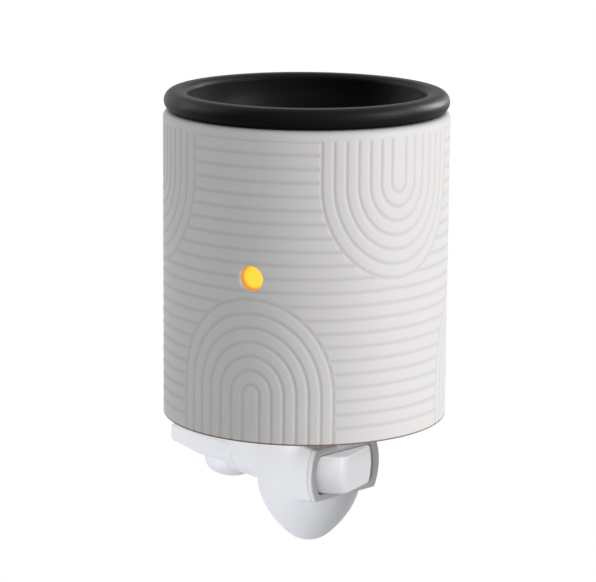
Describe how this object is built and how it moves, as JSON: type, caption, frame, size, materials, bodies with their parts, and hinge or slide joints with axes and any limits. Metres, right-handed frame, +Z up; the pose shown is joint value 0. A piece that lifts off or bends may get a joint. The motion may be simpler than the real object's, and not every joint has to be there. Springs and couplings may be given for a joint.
{
  "type": "plug-in wax melt warmer",
  "caption": "Plug-in wax melt warmer: ribbed ceramic cylinder with a lift-off silicone wax dish, on a plug housing with a rocker switch and a pilot light.",
  "frame": {"origin": "middle of the plug face that meets the wall outlet, halfway between the blades", "axes": "+Y out of the plug face into the outlet, -Y towards the switch side, +Z up, +X to the right as seen from the switch side"},
  "size_m": [0.08, 0.101, 0.1294],
  "materials": {
    "glazed_stoneware": "satin white glaze",
    "black_silicone": "satin moulded silicone",
    "white_plastic": "moulded, low gloss",
    "switch_plastic": "moulded, low gloss",
    "inner_plastic": "moulded",
    "plate_aluminium": "milled",
    "zinc_steel": "zinc plated",
    "spring_steel": "bright",
    "brass": "plain",
    "heater_ceramic": "fired, unglazed",
    "fibre_washer": "pressed fibre",
    "gasket_silicone": "translucent white",
    "wire_black": "PVC sleeve",
    "wire_red": "PVC sleeve",
    "wire_white": "PVC sleeve",
    "pilot_amber": "lit amber lens"
  },
  "bodies": {
    "housing": {"ceramic_shade": "glazed_stoneware", "heater_plate": "plate_aluminium", "plate_screws": "zinc_steel", "heater_element": "heater_ceramic", "heater_clamp": "spring_steel", "clamp_rivets": "zinc_steel", "thermal_fuse": "zinc_steel", "heater_holder": "inner_plastic", "stem": "brass", "stem_nuts": "brass", "stem_washer": "fibre_washer", "base_gasket": "gasket_silicone", "front_shell": "white_plastic", "rear_shell": "white_plastic", "shell_screws": "zinc_steel", "switch_body": "switch_plastic", "switch_terminals": "brass", "line_blade": "brass", "neutral_blade": "brass", "blade_retainer": "inner_plastic", "line_wire": "wire_black", "switched_wire": "wire_red", "neutral_wire": "wire_white", "pilot_lens": "pilot_amber", "pilot_led": "pilot_amber", "pilot_resistor": "heater_ceramic", "pilot_wires": "wire_red"},
    "rocker": {"switch_rocker": "switch_plastic", "rocker_plunger": "inner_plastic", "plunger_spring": "spring_steel"},
    "contact": {"switch_contact": "brass"},
    "dish": {"silicone_dish": "black_silicone"}
  },
  "joints": [
    {"name": "rocker_tilt", "type": "hinge", "parent": "housing", "child": "rocker", "pos_m": [0, -0.0576, -0.0042], "axis": [0, 0, -1], "range_deg": [0, 32]},
    {"name": "contact_rock", "type": "hinge", "parent": "housing", "child": "contact", "pos_m": [0, -0.0518, -0.0042], "axis": [0, 0, 1], "range_deg": [0, 16]},
    {"name": "dish_lift", "type": "slide", "parent": "housing", "child": "dish", "axis": [0, 0, 1], "range_m": [0, 0.03]}
  ],
  "couplings": [
    {"joint": "contact_rock", "follows": "rocker_tilt", "ratio": 0.5}
  ]
}
